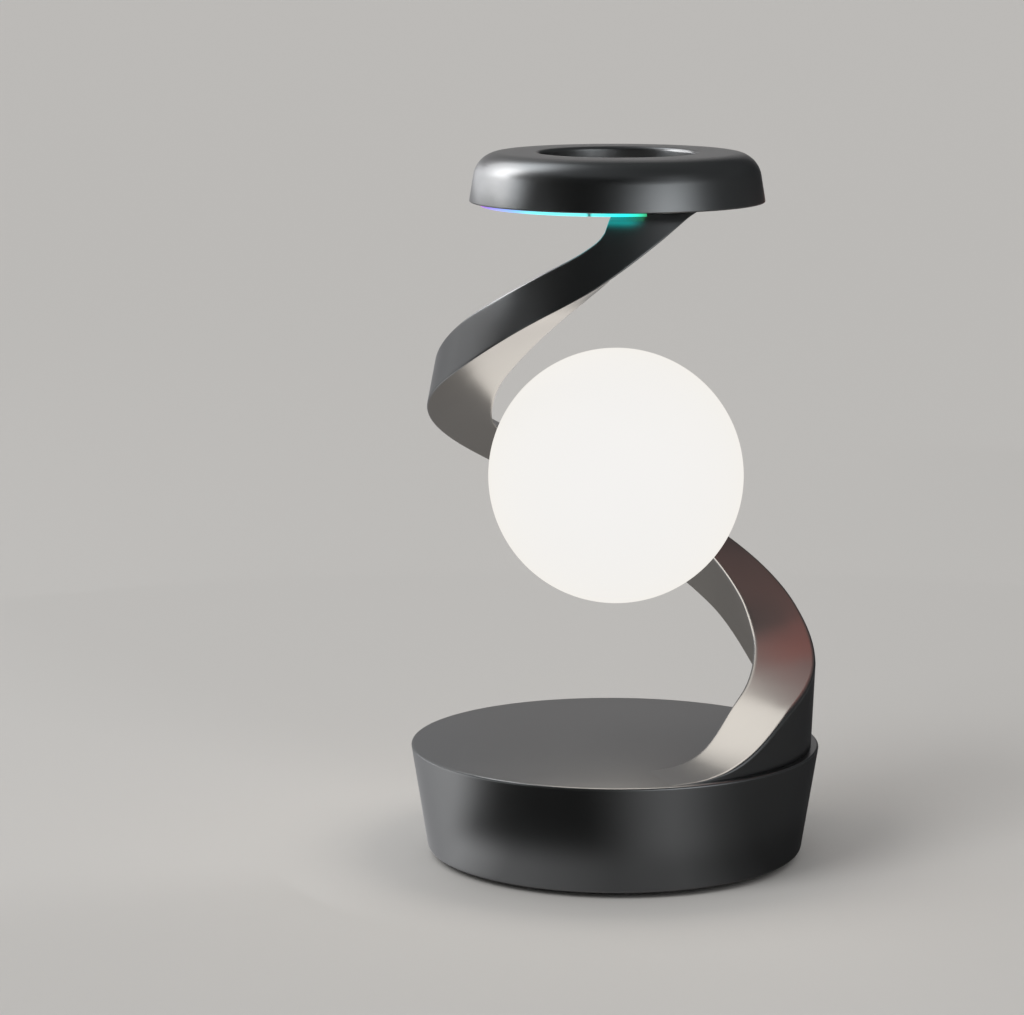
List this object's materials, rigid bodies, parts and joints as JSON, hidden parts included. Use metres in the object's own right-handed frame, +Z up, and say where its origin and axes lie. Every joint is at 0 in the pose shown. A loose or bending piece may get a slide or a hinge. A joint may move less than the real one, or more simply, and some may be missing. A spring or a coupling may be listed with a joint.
{
  "type": "levitating lamp",
  "caption": "Levitating lamp: drum base, spiral arm of one turn, ring-shaped head with a light strip under its rim, and a glowing globe that floats and turns between them.",
  "frame": {"origin": "centre of the lamp's footprint, on the surface that its feet stand on", "axes": "+Z up along the axis of the base, the head and the globe; -Y is the front, which the picture shows"},
  "size_m": [0.1298, 0.1298, 0.2238],
  "materials": {
    "graphite_metal": "fine metallic graphite lacquer, satin",
    "black_plastic": "moulded, fine texture",
    "rubber": "matt",
    "steel": "zinc plated",
    "nickel_plate": "nickel plated magnet",
    "copper_wire": "enamelled copper winding",
    "ferrite": "sintered ferrite, ground",
    "circuit_board": "green solder mask",
    "light_board": "white solder mask",
    "light_guide": "translucent diffuser, lit in changing colours",
    "opal_globe": "opal white, lit from inside"
  },
  "bodies": {
    "base": {"base_shell": "graphite_metal", "bottom_plate": "black_plastic", "foot_1": "rubber", "foot_2": "rubber", "foot_3": "rubber", "foot_4": "rubber", "plate_screw_1": "steel", "plate_screw_2": "steel", "plate_screw_3": "steel", "plate_screw_4": "steel", "arm_foot_screw_1": "steel", "arm_foot_screw_2": "steel", "dc_inlet": "black_plastic", "control_board": "circuit_board", "module_tray": "black_plastic", "ring_magnet": "ferrite", "coil_1": "copper_wire", "coil_2": "copper_wire", "coil_3": "copper_wire", "coil_4": "copper_wire", "coil_core_1": "steel", "coil_core_2": "steel", "coil_core_3": "steel", "coil_core_4": "steel", "hall_board": "circuit_board", "transmitter_coil": "copper_wire", "arm": "graphite_metal", "arm_wires": "black_plastic", "arm_head_screw_1": "steel", "arm_head_screw_2": "steel", "head_cover": "graphite_metal", "head_plate": "graphite_metal", "light_guide": "light_guide", "light_board": "light_board", "head_screw_1": "steel", "head_screw_2": "steel", "head_screw_3": "steel"},
    "globe": {"globe_shade": "opal_globe", "globe_cap": "opal_globe", "float_magnet": "nickel_plate", "receiver_coil": "copper_wire", "lamp_board": "light_board", "lamp_dome": "light_guide"}
  },
  "joints": [
    {"name": "globe_spin", "type": "hinge", "parent": "base", "child": "globe", "pos_m": [0, 0, 0.1218], "axis": [0, 0, 1], "continuous": true}
  ]
}
